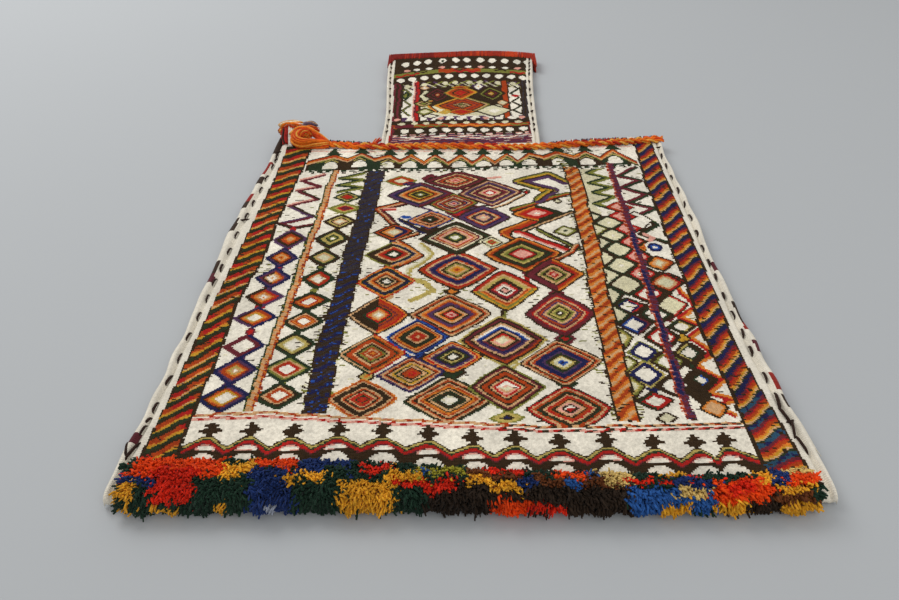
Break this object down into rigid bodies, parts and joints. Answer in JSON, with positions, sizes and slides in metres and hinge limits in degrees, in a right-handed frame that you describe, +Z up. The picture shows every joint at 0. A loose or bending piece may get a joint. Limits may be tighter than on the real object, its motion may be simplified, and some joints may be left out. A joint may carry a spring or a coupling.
{
  "type": "salt bag",
  "caption": "Flat woven wool salt bag with a wide pouch, a narrow open neck, lozenge brocade, a shaggy pile foot and a plaited shoulder cord.",
  "frame": {"origin": "middle of the footprint, on the surface that the bag lies on", "axes": "+X to the right across the bag, +Y from the pile at its foot to the mouth of its neck, +Z up out of its patterned face"},
  "size_m": [0.506, 0.7682, 0.0295],
  "materials": {
    "brocaded_wool": "matte",
    "pile_wool": "matte",
    "sewing_wool": "matte",
    "cord_wool": "matte",
    "overcast_wool": "matte",
    "binding_wool": "matte"
  },
  "bodies": {
    "root": {"woven_bag": "brocaded_wool", "pile_band": "pile_wool", "side_seam_left": "sewing_wool", "side_seam_right": "sewing_wool", "neck_seam_left": "sewing_wool", "neck_seam_right": "sewing_wool", "shoulder_braid": "cord_wool", "shoulder_overcast_left": "overcast_wool", "shoulder_overcast_right": "overcast_wool", "mouth_binding": "binding_wool", "corner_tassel": "cord_wool"}
  },
  "joints": []
}
